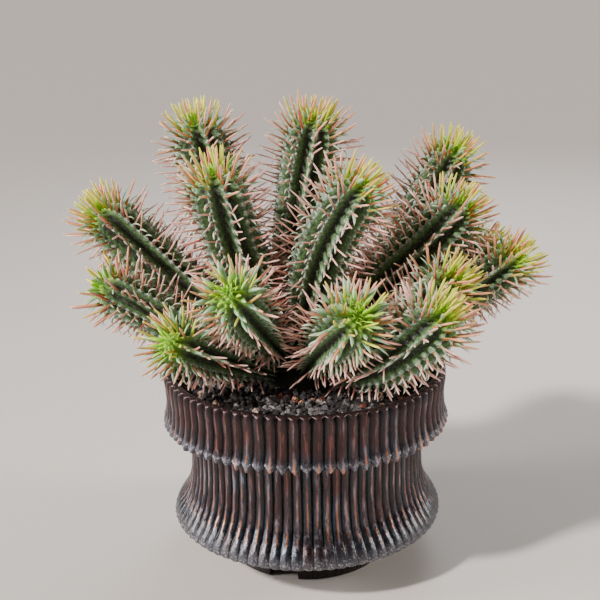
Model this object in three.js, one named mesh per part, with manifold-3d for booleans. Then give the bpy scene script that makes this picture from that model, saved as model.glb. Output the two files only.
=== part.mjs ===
// A potted succulent: fifteen ribbed, spiny stems on one root crown, in a fluted stoneware pot filled with lava grit.
// Millimetres, +Z up. The origin is on the pot's axis, in the plane that its foot ring stands on.
// +X is the plant's right and -Y its front.

import * as THREE from "three";
import { mergeVertices } from "three/addons/utils/BufferGeometryUtils.js";
import Module from "manifold-3d";

// Pot: one fluted outline from the rim down to the edge of the skirt, then a plain underside and foot.
const FLUTES = 80;
const POT_OUTLINE = [
  // z and r of the ridges, how deep the channels lie in them, and how much higher the channels are there
  { z: 98.0, r: 68.4, flute: 1.6, lift: -1.2 },
  { z: 96.5, r: 70.0, flute: 2.2, lift: -1.2 },
  { z: 71.6, r: 71.3, flute: 2.4, lift: 1.6 },
  { z: 69.0, r: 58.6, flute: 2.0, lift: 1.0 },
  { z: 42.0, r: 58.6, flute: 2.2, lift: 0 },
  { z: 30.0, r: 64.2, flute: 2.2, lift: 0 },
  { z: 22.0, r: 67.4, flute: 1.8, lift: 0 },
];
const FOOT_RING = { outer: 41.6, inner: 34, height: 7, recess: 5 };
const SKIRT_EDGE = { radius: 63.5, height: 20 };
const FOOT_NOTCHES = { count: 3, first: -107, width: 13, height: 4 };
const UNDERSIDE_SIDES = 48;
const FLOOR_TOP = 13;
const DRAIN_HOLE_RADIUS = 7;
const ROUND_SIDES = 24;
const CAVITY_SIDES = 36;
const CAVITY_OUTLINE = [
  [41, FLOOR_TOP],
  [54, 27],
  [52, 66],
  [62.5, 76],
  [64, 98],
];

// What lies in the pot. Neighbours keep this gap, so that no two of them share a face.
const SEAT_GAP = 0.3;
const WALL_GAP = 0.5;
const SOIL_TOP = 91.6;
const GRIT_RELIEF = 1.0;
const GRIT_RINGS = 5;
const MESH_DISC = { radius: 14, thickness: 1.2, hole: 3, pitch: 5.5 };

// The root crown is a ball with a blunt tap root, and stands half out of the soil.
const CROWN_CENTRE = new THREE.Vector3(-2, 2, 86);
const CROWN_RADIUS = 24;
const CROWN_SIDES = 14;
const TAP_ROOT = { radius: 9, bottom: 46 };

// Stems: where each leaves the root crown, the point that its curve bends towards, its tip, and the radius over its
// ribs. The twist is how far the ribs turn from foot to tip, in degrees.
const STEMS = [
  { name: "back_centre", root: [-3, 15, 104], bend: [-5, 40, 156], tip: [8, 42, 213], radius: 14, twist: 10 },
  { name: "back_left", root: [-13, 13, 101], bend: [-42, 39, 164], tip: [-53, 44, 212], radius: 14, twist: -14 },
  { name: "front_left", root: [-12, 1, 105], bend: [-33, -6, 150], tip: [-41, -4, 195], radius: 14, twist: 12 },
  { name: "far_left", root: [-20, 6, 98], bend: [-60, 18, 133], tip: [-100, 17, 173], radius: 13, twist: 16 },
  { name: "low_left", root: [-21, -5, 97], bend: [-62, -10, 120], tip: [-97, -6, 142], radius: 10.5, twist: -10 },
  { name: "rim_left", root: [-15, -14, 97], bend: [-38, -30, 110], tip: [-61, -46, 126], radius: 11, twist: 8 },
  { name: "front_mid_left", root: [-9, -10, 103], bend: [-23, -30, 118], tip: [-33, -50, 150], radius: 12, twist: -12 },
  { name: "front_mid_right", root: [2, -16, 99], bend: [8, -40, 112], tip: [24, -61, 142], radius: 13, twist: 14 },
  { name: "centre_right", root: [-1, -4, 108], bend: [2, -14, 158], tip: [29, -14, 190], radius: 13.5, twist: -18 },
  { name: "back_right", root: [8, 13, 104], bend: [58, 57, 143], tip: [81, 55, 193], radius: 13, twist: 10 },
  { name: "right", root: [9, 2, 107], bend: [55, 6, 146], tip: [79, 10, 174], radius: 14, twist: 20 },
  { name: "small_right", root: [16, 12, 98], bend: [64, 31, 120], tip: [98, 36, 146], radius: 9.5, twist: -8 },
  { name: "far_right", root: [20, 2, 98], bend: [72, 4, 121], tip: [104, 0, 150], radius: 10.5, twist: 12 },
  { name: "front_right_back", root: [14, -8, 101], bend: [52, -17, 125], tip: [71, -24, 147], radius: 11.5, twist: -10 },
  { name: "front_right", root: [12, -16, 98], bend: [37, -47, 109], tip: [62, -54, 140], radius: 13.5, twist: 16 },
];
const RIBS = 10;
const FURROW = 0.72; // radius in the furrows, as a share of the radius over the ribs
const FOOT_SHARE = 0.4; // a stem leaves the root crown at this share of its full radius
const GROWTH_LENGTH = 46; // and reaches its full radius this far along
const RING_SPACING = 17;
const TUBERCLE_DIP = 0.92; // every other ring dips to this share, for the bumps along a rib
const CROWN_RINGS = [
  // how far below the tip, and how wide, as shares of the stem's radius
  [0.75, 0.96],
  [0.2, 0.58],
];

// Spines and leaf scales grow on the ribs. Their roots are sunk well into the flesh.
const SPINE = { spacing: 26, shortest: 12, longest: 16.5, radius: 0.75, sunk: 2.6, tilt: 0.45, jitter: 0.3 };
const LEAF = { length: 10, width: 4, thickness: 2, sunk: 2.4, lean: 0.6, below: 0.4 };
const CLEAR_OF_STEM = 1.0;
const CLEAR_OF_SPINE = 2.2;

const COLOURS = {
  glaze: 0x3a2722,
  grit: 0x2e2b29,
  mesh: 0x1d1f1e,
  crown: 0x5b5346,
  stem: 0x4f7a3a,
};

const wasm = await Module();
wasm.setup();

// A repeatable random number from 0 to 1.
let seed = 7;
function random() {
  seed = (seed * 16807) % 2147483647;
  return seed / 2147483647;
}

function between(low, high) {
  return low + (high - low) * random();
}

function smoothstep(share) {
  const s = Math.min(1, Math.max(0, share));
  return s * s * (3 - 2 * s);
}

// Solids go into manifold-3d to be joined and cut, and come back as plain geometries.
function toSolid(geometry) {
  const bare = geometry.index ? geometry.toNonIndexed() : geometry.clone();
  bare.deleteAttribute("normal");
  bare.deleteAttribute("uv");
  const merged = mergeVertices(bare, 1e-4);
  const mesh = new wasm.Mesh({
    numProp: 3,
    vertProperties: new Float32Array(merged.attributes.position.array),
    triVerts: new Uint32Array(merged.index.array),
  });
  return new wasm.Manifold(mesh);
}

function toMesh(name, solid, colour, roughness, metalness = 0) {
  const result = solid.getMesh();
  const geometry = new THREE.BufferGeometry();
  geometry.setAttribute("position", new THREE.BufferAttribute(new Float32Array(result.vertProperties), 3));
  geometry.setIndex(new THREE.BufferAttribute(new Uint32Array(result.triVerts), 1));
  geometry.computeVertexNormals();
  const mesh = new THREE.Mesh(geometry, new THREE.MeshStandardMaterial({ color: colour, roughness, metalness }));
  mesh.name = name;
  return mesh;
}

// A closed skin over rings of points that all have the same count, with a point or a flat fan at each end.
function skin(rings, first, last) {
  const count = rings[0].length;
  const positions = [first, ...rings.flat(), last].flatMap((point) => [point.x, point.y, point.z]);
  const end = rings.length * count + 1;
  const faces = [];
  for (let i = 0; i < count; i += 1) {
    const next = (i + 1) % count;
    faces.push(0, 1 + next, 1 + i);
    for (let k = 0; k + 1 < rings.length; k += 1) {
      const low = 1 + k * count;
      const high = low + count;
      faces.push(low + i, low + next, high + next);
      faces.push(low + i, high + next, high + i);
    }
    faces.push(end, end - count + i, end - count + next);
  }
  const geometry = new THREE.BufferGeometry();
  geometry.setAttribute("position", new THREE.Float32BufferAttribute(positions, 3));
  geometry.setIndex(faces);
  return geometry;
}

// A turned solid about the Z axis, from its outline [radius, height] going up.
function turned(outline, sides) {
  const points = outline.map(([r, z]) => new THREE.Vector2(r, z));
  const geometry = new THREE.LatheGeometry(points, sides);
  geometry.rotateX(Math.PI / 2);
  return toSolid(geometry);
}

function around(radius, angle, z) {
  return new THREE.Vector3(radius * Math.cos(angle), radius * Math.sin(angle), z);
}

// The fluted part of the pot: ridges and channels take turns round each level of the outline.
function flutedShell() {
  const steps = FLUTES * 2;
  const rings = [...POT_OUTLINE].reverse().map((level) => {
    const ring = [];
    for (let i = 0; i < steps; i += 1) {
      const channel = i % 2;
      ring.push(around(level.r - channel * level.flute, (i / steps) * 2 * Math.PI, level.z + channel * level.lift));
    }
    return ring;
  });
  const bottom = new THREE.Vector3(0, 0, POT_OUTLINE.at(-1).z);
  const top = new THREE.Vector3(0, 0, POT_OUTLINE[0].z);
  return toSolid(skin(rings, bottom, top));
}

function footNotch(index) {
  const angle = THREE.MathUtils.degToRad(FOOT_NOTCHES.first + (index * 360) / FOOT_NOTCHES.count);
  const middle = (FOOT_RING.outer + FOOT_RING.inner) / 2;
  const throughRing = FOOT_RING.outer - FOOT_RING.inner + 8;
  const cut = new THREE.BoxGeometry(throughRing, FOOT_NOTCHES.width, FOOT_NOTCHES.height * 2);
  cut.rotateZ(angle);
  cut.translate(middle * Math.cos(angle), middle * Math.sin(angle), 0);
  return toSolid(cut);
}

function potCavity() {
  const mouth = CAVITY_OUTLINE.at(-1)[0];
  const above = POT_OUTLINE[0].z + 10;
  return turned([[0, FLOOR_TOP], ...CAVITY_OUTLINE, [mouth, above], [0, above]], CAVITY_SIDES);
}

function makePot() {
  const base = turned(
    [
      [0, FOOT_RING.recess],
      [FOOT_RING.inner - 1, FOOT_RING.recess],
      [FOOT_RING.inner, 0],
      [FOOT_RING.outer - 0.6, 0],
      [FOOT_RING.outer, FOOT_RING.height],
      [SKIRT_EDGE.radius, SKIRT_EDGE.height],
      [SKIRT_EDGE.radius - 3.5, SKIRT_EDGE.height + 6],
      [0, SKIRT_EDGE.height + 6],
    ],
    UNDERSIDE_SIDES,
  );
  const above = FLOOR_TOP + 5;
  const drain = turned([[0, 0], [DRAIN_HOLE_RADIUS, 0], [DRAIN_HOLE_RADIUS, above], [0, above]], ROUND_SIDES);
  let pot = flutedShell().add(base).subtract(potCavity()).subtract(drain);
  for (let i = 0; i < FOOT_NOTCHES.count; i += 1) {
    pot = pot.subtract(footNotch(i));
  }
  return toMesh("pot", pot, COLOURS.glaze, 0.45, 0.25);
}

// The disc lies on the pot's floor, over the drain hole.
function drainMesh() {
  const bottom = FLOOR_TOP + SEAT_GAP;
  const top = bottom + MESH_DISC.thickness;
  let disc = turned([[0, bottom], [MESH_DISC.radius, bottom], [MESH_DISC.radius, top], [0, top]], ROUND_SIDES);
  for (const column of [-1, 0, 1]) {
    for (const row of [-1, 0, 1]) {
      const hole = new THREE.BoxGeometry(MESH_DISC.hole, MESH_DISC.hole, 10);
      hole.translate(column * MESH_DISC.pitch, row * MESH_DISC.pitch, bottom);
      disc = disc.subtract(toSolid(hole));
    }
  }
  return toMesh("drain_mesh", disc, COLOURS.mesh, 0.6);
}

// A ball about the root crown's centre, grown by some margin, with a blunt root below it.
function crownSolid(margin) {
  const ball = new THREE.SphereGeometry(CROWN_RADIUS + margin, CROWN_SIDES, 8);
  ball.rotateX(Math.PI / 2);
  ball.translate(CROWN_CENTRE.x, CROWN_CENTRE.y, CROWN_CENTRE.z);
  const root = new THREE.CylinderGeometry(CROWN_RADIUS * 0.6 + margin, TAP_ROOT.radius + margin, 1, CROWN_SIDES);
  root.rotateX(Math.PI / 2);
  const bottom = TAP_ROOT.bottom - margin;
  const top = CROWN_CENTRE.z - CROWN_RADIUS * 0.5;
  root.scale(1, 1, top - bottom);
  root.translate(CROWN_CENTRE.x, CROWN_CENTRE.y, (top + bottom) / 2);
  return toSolid(ball).add(toSolid(root));
}

function rootCrown() {
  return toMesh("root_crown", crownSolid(0), COLOURS.crown, 0.9);
}

// One level ring of the soil. Its sides face the cavity's, so that the gap to the wall is the same all round.
function soilRing(radius, height) {
  const ring = [];
  for (let i = 0; i < CAVITY_SIDES; i += 1) {
    ring.push(around(radius, (i / CAVITY_SIDES) * 2 * Math.PI, height()));
  }
  return ring;
}

// The grit fills the cavity up to a rough surface, with a plain hole for the root crown and a recess for the disc.
function makeSoil() {
  const floor = FLOOR_TOP + SEAT_GAP;
  const rings = [];
  for (const [radius, z] of CAVITY_OUTLINE.slice(0, -1)) {
    rings.push(soilRing(radius - WALL_GAP, () => Math.max(z, floor)));
  }
  const [neckRadius, neckHeight] = CAVITY_OUTLINE.at(-2);
  const [mouthRadius, mouthHeight] = CAVITY_OUTLINE.at(-1);
  const rise = (SOIL_TOP - neckHeight) / (mouthHeight - neckHeight);
  const edge = neckRadius + (mouthRadius - neckRadius) * rise - WALL_GAP;
  for (let k = 0; k < GRIT_RINGS; k += 1) {
    rings.push(soilRing(edge * (1 - k / GRIT_RINGS), () => SOIL_TOP + between(-GRIT_RELIEF, GRIT_RELIEF)));
  }
  const bottom = new THREE.Vector3(0, 0, floor);
  const top = new THREE.Vector3(0, 0, SOIL_TOP);
  const recessRadius = MESH_DISC.radius + SEAT_GAP;
  const recessTop = floor + MESH_DISC.thickness + SEAT_GAP;
  const recess = turned([[0, 0], [recessRadius, 0], [recessRadius, recessTop], [0, recessTop]], ROUND_SIDES);
  const soil = toSolid(skin(rings, bottom, top)).subtract(crownSolid(SEAT_GAP)).subtract(recess);
  return toMesh("soil", soil, COLOURS.grit, 0.95);
}

// Everything that a stem's shape follows: its curve, its length, and its directions and radius at any point.
function stemForm(stem) {
  const curve = new THREE.QuadraticBezierCurve3(
    new THREE.Vector3(...stem.root),
    new THREE.Vector3(...stem.bend),
    new THREE.Vector3(...stem.tip),
  );
  const length = curve.getLength();
  const side = new THREE.Vector3().subVectors(curve.v2, curve.v0).cross(new THREE.Vector3(0, 0, 1)).normalize();
  // The point at a distance along the stem, with its forward, side and up directions.
  const at = (distance) => {
    const share = Math.min(1, Math.max(0, distance / length));
    const point = curve.getPointAt(share);
    const forward = curve.getTangentAt(share);
    const right = side.clone().addScaledVector(forward, -side.dot(forward)).normalize();
    return { point, forward, right, up: new THREE.Vector3().crossVectors(forward, right), share };
  };
  const radiusAt = (distance) => {
    const grown = FOOT_SHARE + (1 - FOOT_SHARE) * smoothstep(distance / GROWTH_LENGTH);
    return stem.radius * grown;
  };
  // The direction straight out from the stem's axis at an angle round it, with the twist of the ribs.
  const outward = (place, angle) => {
    const turn = angle + THREE.MathUtils.degToRad(stem.twist) * place.share;
    return place.right.clone().multiplyScalar(Math.cos(turn)).addScaledVector(place.up, Math.sin(turn));
  };
  return { ...stem, curve, length, at, radiusAt, outward };
}

// The ribbed flesh: a star of ribs and furrows on each ring, and a round crown.
function stemFlesh(form) {
  const body = form.length - CROWN_RINGS[0][0] * form.radius;
  const count = Math.round(body / RING_SPACING);
  const levels = [];
  for (let k = 0; k < count; k += 1) {
    const distance = (k / count) * body;
    levels.push([distance, form.radiusAt(distance) * (k % 2 ? TUBERCLE_DIP : 1)]);
  }
  for (const [below, width] of CROWN_RINGS) {
    levels.push([form.length - below * form.radius, form.radius * width]);
  }
  const rings = levels.map(([distance, radius]) => {
    const place = form.at(distance);
    const ring = [];
    for (let i = 0; i < RIBS * 2; i += 1) {
      const reach = radius * (i % 2 ? FURROW : 1);
      ring.push(form.outward(place, (i * Math.PI) / RIBS).multiplyScalar(reach).add(place.point));
    }
    return ring;
  });
  return toSolid(skin(rings, form.curve.v0, form.curve.v2));
}

// A slim three-sided point from root to tip, with its own half width and half thickness at the root.
function thorn(root, tip, forward, halfWidth, halfThickness) {
  const along = new THREE.Vector3().subVectors(tip, root).normalize();
  const wide = new THREE.Vector3().crossVectors(along, forward).normalize();
  const thick = new THREE.Vector3().crossVectors(along, wide);
  const ring = [];
  for (let i = 0; i < 3; i += 1) {
    const angle = (i / 3) * 2 * Math.PI;
    const point = root.clone().addScaledVector(wide, Math.cos(angle) * halfWidth);
    ring.push(point.addScaledVector(thick, Math.sin(angle) * halfThickness));
  }
  return toSolid(skin([ring], root.clone().addScaledVector(along, -0.2), tip));
}

// The space round the soil and the pot's rim that spines and leaves stay out of.
function touchesPot(point) {
  const reach = Math.hypot(point.x, point.y);
  if (reach < 61) {
    return point.z < SOIL_TOP + GRIT_RELIEF + 1.5;
  }
  return reach < 73 && point.z < 100;
}

function nearestApart(from, to, otherFrom, otherTo) {
  let least = Infinity;
  for (let i = 0; i <= 8; i += 1) {
    const point = new THREE.Vector3().lerpVectors(from, to, i / 8);
    const line = new THREE.Line3(otherFrom, otherTo);
    least = Math.min(least, line.closestPointToPoint(point, true, new THREE.Vector3()).distanceTo(point));
  }
  return least;
}

// Whether a straight thing from one point to another keeps clear of every other stem and its spines.
function fits(from, to, form, forms, placed) {
  for (let i = 1; i <= 6; i += 1) {
    const point = new THREE.Vector3().lerpVectors(from, to, i / 6);
    if (touchesPot(point)) {
      return false;
    }
    for (const other of forms) {
      const hit = other !== form && other.samples.some((s) => s.point.distanceTo(point) < s.radius + CLEAR_OF_STEM);
      if (hit) {
        return false;
      }
    }
    if (point.distanceTo(CROWN_CENTRE) < CROWN_RADIUS + 1) {
      return false;
    }
  }
  const others = placed.filter((other) => other.form !== form);
  return others.every((other) => nearestApart(from, to, other.from, other.to) >= CLEAR_OF_SPINE);
}

// One spine at a distance along a rib, leaning towards the tip, shorter or turned where a neighbour is in its way.
function spineAt(form, forms, placed, distance, angle) {
  const place = form.at(distance);
  const nearTip = smoothstep(1 - (form.length - distance) / (form.radius * 1.4));
  const root = form.outward(place, angle).multiplyScalar(form.radiusAt(distance) * (1 - 0.5 * nearTip) - SPINE.sunk);
  root.add(place.point);
  const length = between(SPINE.shortest, SPINE.longest);
  const lean = SPINE.tilt + 1.2 * nearTip + between(-SPINE.jitter, SPINE.jitter);
  const sway = between(-SPINE.jitter, SPINE.jitter);
  for (const [shorter, turn] of [[1, 0], [1, 0.5], [1, -0.5], [0.75, 0.25], [0.75, -0.25], [0.6, 0]]) {
    const out = form.outward(place, angle + (sway + turn) * (1 - 0.6 * nearTip)).addScaledVector(place.forward, lean);
    out.normalize();
    const tip = root.clone().addScaledVector(out, length * shorter + SPINE.sunk);
    const skinPoint = root.clone().addScaledVector(out, SPINE.sunk);
    if (fits(skinPoint, tip, form, forms, placed)) {
      placed.push({ form, from: skinPoint, to: tip });
      return thorn(root, tip, place.forward, SPINE.radius, SPINE.radius);
    }
  }
  return null;
}

// One leaf scale of the tip's rosette: a small flat blade that stands up and leans out.
function leafAt(form, forms, placed, angle, reach) {
  const place = form.at(form.length - LEAF.below * form.radius);
  const out = form.outward(place, angle);
  const root = place.point.clone().addScaledVector(out, form.radius * reach);
  root.addScaledVector(place.forward, -LEAF.sunk);
  const tip = root.clone().addScaledVector(place.forward, LEAF.length);
  tip.addScaledVector(out, LEAF.length * LEAF.lean);
  const skinPoint = root.clone().lerp(tip, 0.4);
  if (!fits(skinPoint, tip, form, forms, placed)) {
    return null;
  }
  placed.push({ form, from: skinPoint, to: tip });
  return thorn(root, tip, out, LEAF.width / 2, LEAF.thickness / 2);
}

function makeStem(form, forms, placed) {
  let solid = stemFlesh(form);
  for (let rib = 0; rib < RIBS; rib += 1) {
    const angle = (rib * 2 * Math.PI) / RIBS;
    const leaf = leafAt(form, forms, placed, angle, rib % 2 ? 0.3 : 0.5);
    if (leaf) {
      solid = solid.add(leaf);
    }
    const stagger = rib % 2 ? 0.5 : 0;
    for (let distance = form.length - (0.35 + stagger) * SPINE.spacing; distance > 20; distance -= SPINE.spacing) {
      const spine = spineAt(form, forms, placed, distance + between(-1.5, 1.5), angle);
      if (spine) {
        solid = solid.add(spine);
      }
    }
  }
  solid = solid.subtract(crownSolid(SEAT_GAP));
  return toMesh(`stem_${form.name}`, solid, COLOURS.stem, 0.6);
}

function makeStems() {
  const forms = STEMS.map(stemForm);
  for (const form of forms) {
    form.samples = [];
    for (let distance = 0; distance <= form.length; distance += 2) {
      form.samples.push({ point: form.at(distance).point, radius: form.radiusAt(distance) });
    }
  }
  const placed = [];
  return forms.map((form) => makeStem(form, forms, placed));
}

const plantInPot = new THREE.Group();
plantInPot.add(makePot(), drainMesh(), makeSoil(), rootCrown(), ...makeStems());

export default plantInPot;
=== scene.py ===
"""A clump of ribbed, spiny stems in a fluted stoneware pot of lava grit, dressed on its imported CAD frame.

Sizes are in millimetres, as in the CAD source, and are turned to metres where the meshes are made.
"""

import math

import bpy
import numpy as np
from mathutils import Matrix, Vector


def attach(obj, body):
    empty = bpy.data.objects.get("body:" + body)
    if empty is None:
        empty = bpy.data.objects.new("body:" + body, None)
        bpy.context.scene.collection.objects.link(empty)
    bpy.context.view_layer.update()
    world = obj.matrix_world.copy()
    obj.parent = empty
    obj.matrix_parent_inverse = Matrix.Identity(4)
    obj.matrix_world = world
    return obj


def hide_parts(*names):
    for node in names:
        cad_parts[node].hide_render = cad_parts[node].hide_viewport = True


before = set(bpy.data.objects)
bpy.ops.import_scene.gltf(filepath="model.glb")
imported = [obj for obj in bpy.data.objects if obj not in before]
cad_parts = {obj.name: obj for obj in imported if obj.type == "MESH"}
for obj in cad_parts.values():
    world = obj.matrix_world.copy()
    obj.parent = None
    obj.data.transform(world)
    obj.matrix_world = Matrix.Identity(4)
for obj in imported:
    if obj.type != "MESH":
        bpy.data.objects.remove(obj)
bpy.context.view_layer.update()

MM = 0.001
BODY = "root"

# Stems, as in the CAD source: where each leaves the root crown, the point its curve bends towards, its tip,
# its radius over the ribs, and how far the ribs turn from foot to tip in degrees. Three front ones bend a
# little further here, so that their crowns are tipped forward.
STEMS = {
    "back_centre": ((-3, 15, 104), (-5, 40, 156), (8, 42, 213), 14, 10),
    "back_left": ((-13, 13, 101), (-42, 39, 164), (-53, 44, 212), 14, -14),
    "front_left": ((-12, 1, 105), (-33, -6, 150), (-41, -4, 195), 14, 12),
    "far_left": ((-20, 6, 98), (-60, 18, 133), (-100, 17, 173), 13, 16),
    "low_left": ((-21, -5, 97), (-62, -10, 120), (-97, -6, 142), 10.5, -10),
    "rim_left": ((-15, -14, 97), (-46, -26, 111), (-61, -46, 126), 11, 8),
    "front_mid_left": ((-9, -10, 103), (-24, -24, 125), (-33, -50, 150), 12, -12),
    "front_mid_right": ((2, -16, 99), (9, -34, 116), (24, -61, 142), 13, 14),
    "centre_right": ((-1, -4, 108), (2, -14, 158), (29, -14, 190), 13.5, -18),
    "back_right": ((8, 13, 104), (58, 57, 143), (81, 55, 193), 13, 10),
    "right": ((9, 2, 107), (55, 6, 146), (79, 10, 174), 14, 20),
    "small_right": ((16, 12, 98), (64, 31, 120), (98, 36, 146), 9.5, -8),
    "far_right": ((20, 2, 98), (72, 4, 121), (104, 0, 150), 10.5, 12),
    "front_right_back": ((14, -8, 101), (52, -17, 125), (71, -24, 147), 11.5, -10),
    "front_right": ((12, -16, 98), (37, -47, 109), (62, -54, 140), 13.5, 16),
}
# Stems whose tip is a rosette of leaves, with no spines in its middle.
LEAFY_TIPS = ("low_left", "rim_left", "front_mid_left", "front_mid_right")
RIBS = 10
COLUMNS_PER_RIB = 9
RING_SPACING = 1.0
FOOT_SHARE = 0.4  # a stem's radius at its foot, as a share of its full one
GROWTH_LENGTH = 46  # how far up it reaches its full radius
DOME = 0.85  # height of the round tip, as a share of the stem's radius
TIP_DIMPLE = 0.8  # how far the growing point lies inside the tip
FURROW_DEPTH = 0.3  # as a share of the radius
FURROW_AT_TIP = 0.35  # as a share of that depth
CREST_POWER = 1.7  # how sharply a rib rises out of its furrows
CREST_SUNK = 0.9  # how far a rib lies under the stem's radius between its tubercles
TUBERCLE = dict(spacing=4.4, height=2.0, tall=0.27, wide=0.3)  # tall and wide are shares of spacing and rib
TIP_CROWD = dict(more=2.2, reach=7)  # tubercles that a rib has on top of its even ones, close to the tip
LOWEST_TUBERCLE = 8  # how far from the foot
CHEVRON_HEIGHT = 0.3  # creases that run down both sides of a rib from its tubercles
SKIN_RIPPLE = dict(height=0.22, wavelength=7)
FULL_AGE = 100  # how far from the tip skin, spines and leaves have an age of 1

# What grows on a tubercle: how deep its root is sunk, and how much nearer to the tip a leaf stands.
SPINE_SUNK = 0.8
LEAF_SUNK = 0.7
LEAF_AHEAD = 0.9
SPINE = dict(length=15.5, radius=0.62, taper=0.25, bow=0.8, knot=0.2, knot_at=0.77, sides=5, segments=5)
SHORTEST_SPINE = 0.35 * SPINE["length"]
CROWN_LEAF = dict(length=9.6, half_width=1.15, half_thickness=0.4, bend=0.6)
HOOKED_SCALE = dict(length=7.8, half_width=0.62, half_thickness=0.42, bend=2.0)

CROWN_CENTRE = np.array([-2.0, 2.0, 86.0])
CROWN_RADIUS = 24
SOIL_TOP = 91.6

# Where nothing grows: this far over the grit, between these radii under the rim's top, and in other stems.
GRIT_CLEARANCE = 1.5
RIM = dict(inside=63, outside=72, top=99)
STEM_SHARE = 0.95
SHORT_BY = 0.15  # what is blocked ends this share of its length before the blocked point

# The pot's outline, a loop from the drain hole up the inside, over the rim and down the outside to the foot.
# Each entry is radius, height, how deep the flutes are there, and how much higher their middles lie.
FLUTES = 80
COLUMNS_PER_FLUTE = 12
COLUMN_SHIFT = 0.07  # how far columns are moved to the middle of their flute, as a share of its width
POT_OUTLINE = (
    (7, 13, 0, 0),
    (40, 13, 0, 0),
    (53.5, 27, 0, 0),
    (51.5, 45, 0, 0),
    (51.5, 66, 0, 0),
    (62, 76, 0, 0),
    (64.0, 93, 0, 0),
    (64.6, 96.6, 0, 0),
    (65.8, 97.8, 0.3, 0),
    (67.6, 98.0, 1.2, 0),
    (69.0, 97.5, 1.8, 0),
    (69.5, 96.9, 2.0, 0),
    (69.8, 96.2, 2.0, 0),
    (69.95, 95.4, 2.0, 0),
    (70.0, 94.5, 2.0, 0),
    (69.5, 90, 1.9, 0),
    (69.1, 84, 1.9, 0),
    (69.6, 78, 1.9, 0),
    (70.6, 74, 2.0, 0.8),
    (71.2, 72.2, 2.2, 2.4),
    (70.9, 71.0, 2.4, 3.0),
    (69.4, 70.2, 2.0, 2.8),
    (66, 69.8, 1.6, 1.4),
    (61, 69.0, 1.6, 0.8),
    (59.0, 67.4, 2.0, 0),
    (58.4, 62, 1.9, 0),
    (58.2, 52, 1.9, 0),
    (58.7, 43, 1.9, 0),
    (60.4, 36, 1.8, 0),
    (63.2, 30.4, 1.4, 0),
    (66.0, 26.6, 1.1, 0),
    (67.5, 23.8, 0.9, 0),
    (67.8, 21.8, 0.8, 0.3),
    (67.0, 20.3, 0.6, 0.4),
    (65.0, 19.3, 0.4, 0.2),
    (61, 17.6, 0, 0),
    (52, 12.6, 0, 0),
    (44, 8.2, 0, 0),
    (42.2, 7.0, 0, 0),
    (41.7, 5.4, 0, 0),
    (41.6, 0.6, 0, 0),
    (41.0, 0, 0, 0),
    (34.6, 0, 0, 0),
    (34.0, 0.6, 0, 0),
    (33.4, 4.6, 0, 0),
    (32.6, 5, 0, 0),
    (7, 5, 0, 0),
)
FLUTED_STEP = 1.7
PLAIN_STEP = 14
FOOT_NOTCHES = dict(count=3, first=-107, width=13, height=4, ring_inside=33, ring_middle=38)

# The bed under the loose grains: radius and height up its wall, and the radii of its rough top's rings.
BED_WALL = ((40, 13.6), (53, 27), (51, 66), (61.5, 76), (63.2, 88.5))
BED_RADII = np.linspace(62.6, 3, 22)
BED_TOP = SOIL_TOP - 1.4
BED_ROUGHNESS = 0.5
ROUND_COLUMNS = 72  # points in each ring of the bed and of the root crown

# Where the glaze runs together, outside this radius: over the foot of the band, over the foot of the skirt
# and, less and less going up, on the waist. The rest are heights, and shares of how much glaze gathers.
OUTSIDE = 56
BAND = dict(foot=69.3, runs_from=82, most=0.75)
SKIRT = dict(foot=18.5, runs_from=33, most=1.0)
WAIST = dict(foot=19, top=69, most=0.45, fades_from=33, fading=0.008)
RUN_LENGTH = 13
BAND_EDGE = dict(height=71, spread=2.5, inside=64)

# How fine each pattern is, in bumps to the metre, with the width of one bump. Wax flecks, glaze grains, pores
# and scuffs are finer on the real thing, and are drawn as coarse as the render can show them.
SKIN_BLOTCHES = 480.0  # 2 mm
WAX_FLECKS = 1150.0  # 0.9 mm
GLAZE_STREAKS = 800.0  # 1.2 mm across, drawn out to 16 mm in height
GLAZE_PATCHES = 130.0  # 8 mm across, 19 mm in height
GLAZE_GRAINS = 1100.0  # 0.9 mm
GRIT_PORES = 1100.0  # 0.9 mm
CORK_CRACKS = 300.0  # 3 mm
MESH_SCUFFS = 900.0  # 1.1 mm
FLUTE_WAVES = 55.0  # 18 mm
CRUST_LUMPS = 650.0  # 1.5 mm

# Where the camera stands in metres, its lens and its sensor's width in mm, and how it is turned in degrees.
CAMERA = dict(place=(0, -0.5125, 0.2925), lens=66, sensor=36, pitch=17.56, yaw=0.19, roll=-1.11)


# Small helpers

MATH = "ShaderNodeMath"
VECTOR_MATH = "ShaderNodeVectorMath"
MAP_RANGE = "ShaderNodeMapRange"
RAMP = "ShaderNodeValToRGB"
MIX = "ShaderNodeMix"
NOISE = "ShaderNodeTexNoise"
MOVE = "GeometryNodeSetPosition"
STORE = "GeometryNodeStoreNamedAttribute"


def linear(hex_colour):
    """An sRGB hex colour as the linear RGBA that shader sockets take."""
    channels = [int(hex_colour[i : i + 2], 16) / 255 for i in (1, 3, 5)]
    rgb = [c / 12.92 if c <= 0.04045 else ((c + 0.055) / 1.055) ** 2.4 for c in channels]
    return (*rgb, 1.0)


def pick(sockets, key):
    """The socket in use with this name, or the one with this number."""
    if isinstance(key, int):
        return sockets[key]
    return next(one for one in sockets if one.enabled and one.name == key)


def fill(tree, sockets, values):
    """Sets each socket, given by name or number, to a value, or links it to another node's output."""
    for key, value in values.items():
        target = pick(sockets, key)
        if isinstance(value, bpy.types.NodeSocket):
            tree.links.new(value, target)
        else:
            target.default_value = value


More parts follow.
